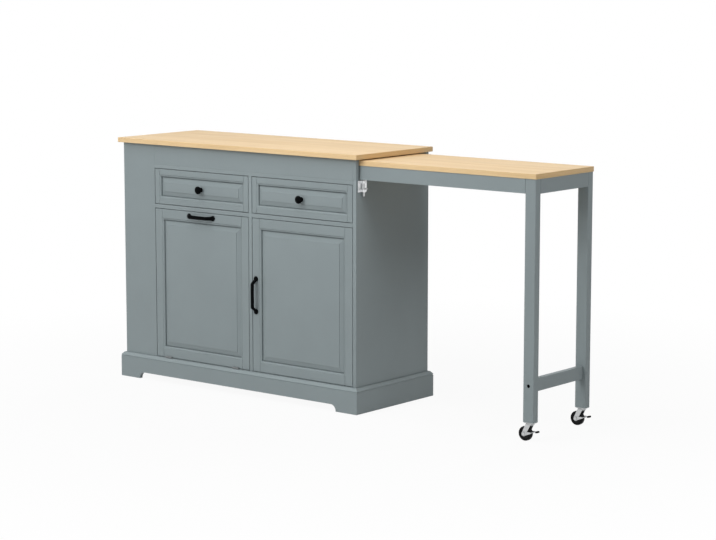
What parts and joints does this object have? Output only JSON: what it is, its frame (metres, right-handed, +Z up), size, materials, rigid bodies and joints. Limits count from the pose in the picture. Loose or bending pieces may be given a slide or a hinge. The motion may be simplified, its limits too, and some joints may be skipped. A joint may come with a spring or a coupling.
{
  "type": "kitchen island with pull-out table",
  "caption": "Kitchen island on a fixed plinth with drawers, a tilt-out bin door, a cupboard, open end shelves and a table that slides out on braked swivel casters",
  "frame": {"origin": "On the floor, under the middle of the box round the whole object with its table pulled out", "axes": "+X runs along the cabinet toward the pull-out table, -Y is the front with the doors and drawers, +Z is up"},
  "size_m": [1.912, 0.457, 0.92],
  "materials": {
    "paint_grey": "satin grey paint on board",
    "oak": "clear satin oil on pale oak",
    "black_iron": "matt black",
    "zinc_steel": "bright zinc plating",
    "inner_board": "plain birch board",
    "glide_plastic": "plain nylon",
    "wheel_rubber": "satin black rubber"
  },
  "bodies": {
    "cabinet": {"worktop": "oak", "front_top_rail": "paint_grey", "rear_top_rail": "paint_grey", "bay_posts": "paint_grey", "front_end_stile": "paint_grey", "rear_end_stile": "paint_grey", "end_partition": "paint_grey", "centre_divider": "paint_grey", "right_side_panel": "paint_grey", "bottom_panel": "paint_grey", "bay_floor": "paint_grey", "drawer_decks": "paint_grey", "back_panel": "paint_grey", "end_shelves": "paint_grey", "cupboard_shelf": "inner_board", "shelf_pins": "zinc_steel", "plinth_front": "paint_grey", "plinth_back": "paint_grey", "plinth_sides": "paint_grey", "base_runners": "inner_board", "glide_strips": "glide_plastic", "bay_guides": "inner_board", "latch_housing": "zinc_steel", "latch_screws": "zinc_steel", "drawer_rails": "zinc_steel", "tilt_hinge_seats": "zinc_steel", "door_pivots": "zinc_steel"},
    "table": {"table_board": "oak", "table_front_apron": "paint_grey", "table_rear_apron": "paint_grey", "table_end_apron": "paint_grey", "table_inner_rail": "paint_grey", "front_leg": "paint_grey", "rear_leg": "paint_grey", "leg_stretcher": "paint_grey", "leg_bolts": "black_iron", "caster_plates": "zinc_steel"},
    "front_caster": {"front_caster_fork": "zinc_steel", "front_caster_axle": "zinc_steel"},
    "front_wheel": {"front_caster_wheel": "wheel_rubber"},
    "front_brake": {"front_caster_brake": "zinc_steel"},
    "rear_caster": {"rear_caster_fork": "zinc_steel", "rear_caster_axle": "zinc_steel"},
    "rear_wheel": {"rear_caster_wheel": "wheel_rubber"},
    "rear_brake": {"rear_caster_brake": "zinc_steel"},
    "latch_bolt": {"latch_bolt": "zinc_steel"},
    "tilt_door": {"tilt_door": "paint_grey", "tilt_door_handle": "black_iron", "tilt_hinge_leaves": "zinc_steel", "bin_cradle": "inner_board"},
    "cupboard_door": {"cupboard_door": "paint_grey", "cupboard_door_handle": "black_iron"},
    "left_drawer": {"left_drawer_front": "paint_grey", "left_drawer_box": "inner_board", "left_drawer_slides": "zinc_steel", "left_drawer_knob": "black_iron"},
    "right_drawer": {"right_drawer_front": "paint_grey", "right_drawer_box": "inner_board", "right_drawer_slides": "zinc_steel", "right_drawer_knob": "black_iron"}
  },
  "joints": [
    {"name": "table_slide", "type": "slide", "parent": "cabinet", "child": "table", "axis": [1, 0, 0], "range_m": [-0.655, 0]},
    {"name": "latch_slide", "type": "slide", "parent": "cabinet", "child": "latch_bolt", "axis": [0, 0, 1], "range_m": [0, 0.012]},
    {"name": "tilt_door_hinge", "type": "hinge", "parent": "cabinet", "child": "tilt_door", "pos_m": [-0.542, -0.2059, 0.0974], "axis": [1, 0, 0], "range_deg": [0, 30]},
    {"name": "cupboard_door_hinge", "type": "hinge", "parent": "cabinet", "child": "cupboard_door", "pos_m": [0.178, -0.1985, 0.37825], "axis": [0, 0, 1], "range_deg": [0, 105]},
    {"name": "left_drawer_slide", "type": "slide", "parent": "cabinet", "child": "left_drawer", "axis": [0, -1, 0], "range_m": [0, 0.27]},
    {"name": "right_drawer_slide", "type": "slide", "parent": "cabinet", "child": "right_drawer", "axis": [0, -1, 0], "range_m": [0, 0.27]},
    {"name": "front_caster_swivel", "type": "hinge", "parent": "table", "child": "front_caster", "pos_m": [0.922, -0.16925, 0.065], "axis": [0, 0, 1], "continuous": true},
    {"name": "front_wheel_spin", "type": "hinge", "parent": "front_caster", "child": "front_wheel", "pos_m": [0.904, -0.16925, 0.025], "axis": [0, 1, 0], "continuous": true},
    {"name": "front_brake_lever", "type": "hinge", "parent": "front_caster", "child": "front_brake", "pos_m": [0.904, -0.16925, 0.025], "axis": [0, 1, 0], "range_deg": [0, 20]},
    {"name": "rear_caster_swivel", "type": "hinge", "parent": "table", "child": "rear_caster", "pos_m": [0.922, 0.14325, 0.065], "axis": [0, 0, 1], "continuous": true},
    {"name": "rear_wheel_spin", "type": "hinge", "parent": "rear_caster", "child": "rear_wheel", "pos_m": [0.904, 0.14325, 0.025], "axis": [0, 1, 0], "continuous": true},
    {"name": "rear_brake_lever", "type": "hinge", "parent": "rear_caster", "child": "rear_brake", "pos_m": [0.904, 0.14325, 0.025], "axis": [0, 1, 0], "range_deg": [0, 20]}
  ]
}
